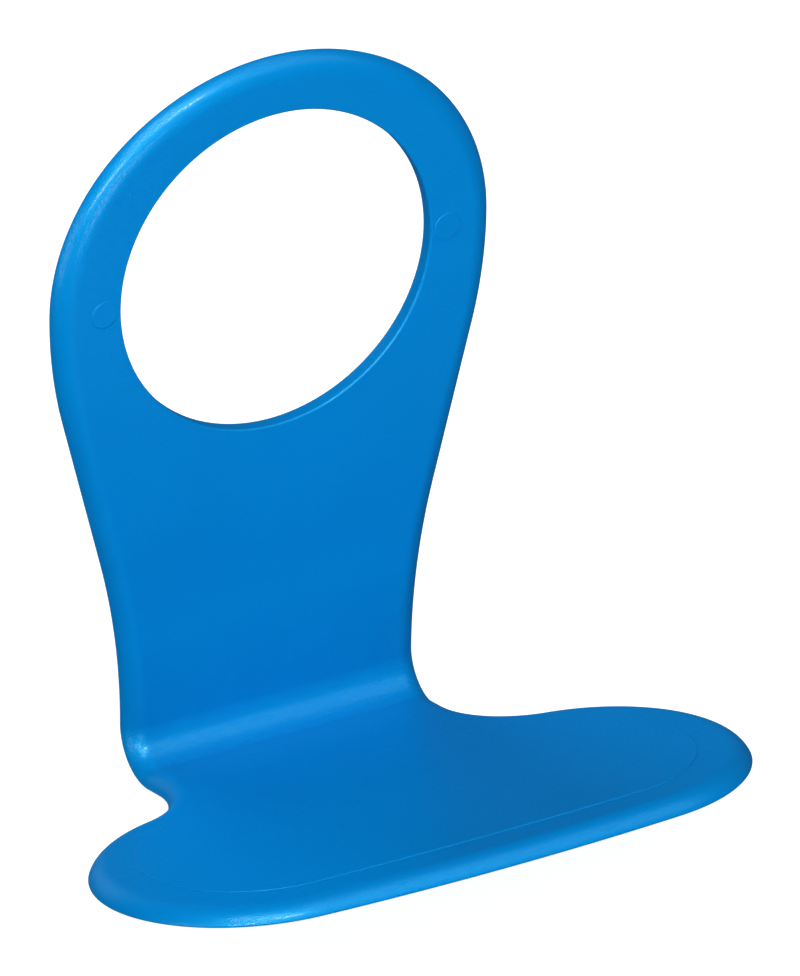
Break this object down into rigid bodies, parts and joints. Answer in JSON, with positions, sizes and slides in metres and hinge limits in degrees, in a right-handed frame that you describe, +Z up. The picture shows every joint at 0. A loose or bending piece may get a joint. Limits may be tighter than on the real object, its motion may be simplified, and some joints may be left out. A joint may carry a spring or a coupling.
{
  "type": "charging phone holder",
  "caption": "L-shaped plastic holder: a back plate with a large round hole hangs on a wall charger, and a wide oval shelf carries the phone.",
  "frame": {"origin": "centre of the round plug hole, on the back plate's wall side", "axes": "+Y towards the wall along the hole's axis, +Z up, +X to the right seen from the front; the shelf points to -Y"},
  "size_m": [0.1012, 0.0703, 0.1091],
  "materials": {
    "holder_plastic": "satin, fine mould grain"
  },
  "bodies": {
    "root": {"holder_body": "holder_plastic"}
  },
  "joints": []
}
